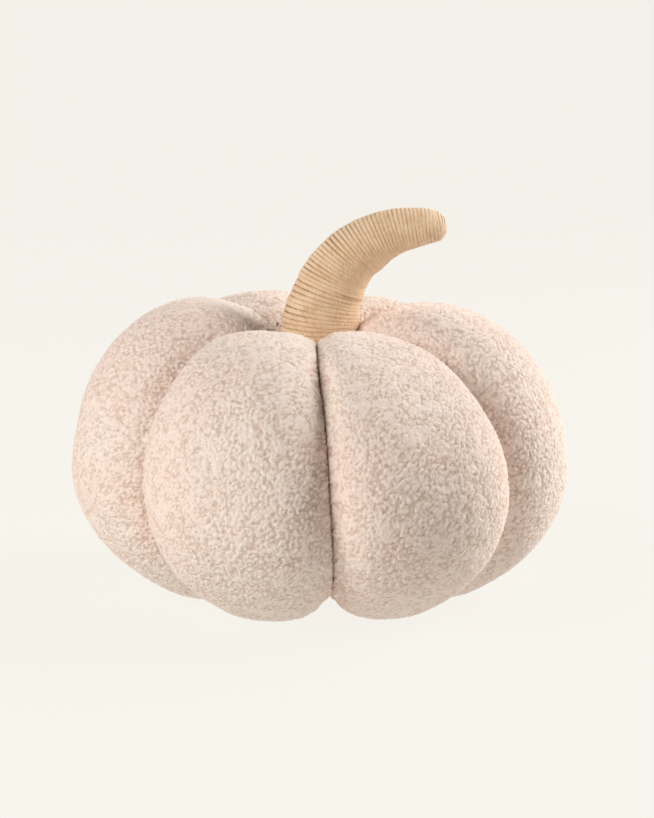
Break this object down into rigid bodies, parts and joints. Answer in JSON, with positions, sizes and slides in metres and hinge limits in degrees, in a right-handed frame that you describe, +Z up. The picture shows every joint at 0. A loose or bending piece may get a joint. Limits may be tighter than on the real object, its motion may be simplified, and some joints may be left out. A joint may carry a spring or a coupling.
{
  "type": "pumpkin cushion",
  "caption": "Decorative plush cushion in the shape of a pumpkin, with stuffed sewn lobes, a dimpled crown and a curved stem wound in jute twine.",
  "frame": {"origin": "on the resting surface, under the middle of the cushion's outline seen from above", "axes": "+Z up, -Y towards the front seam, +X the way the stem leans"},
  "size_m": [0.3008, 0.283, 0.2353],
  "materials": {
    "blush_plush": "matt looped plush pile, cream with a blush tint",
    "jute_twine": "matt natural jute twine, tan"
  },
  "bodies": {
    "root": {"cushion": "blush_plush", "stem": "jute_twine"}
  },
  "joints": []
}
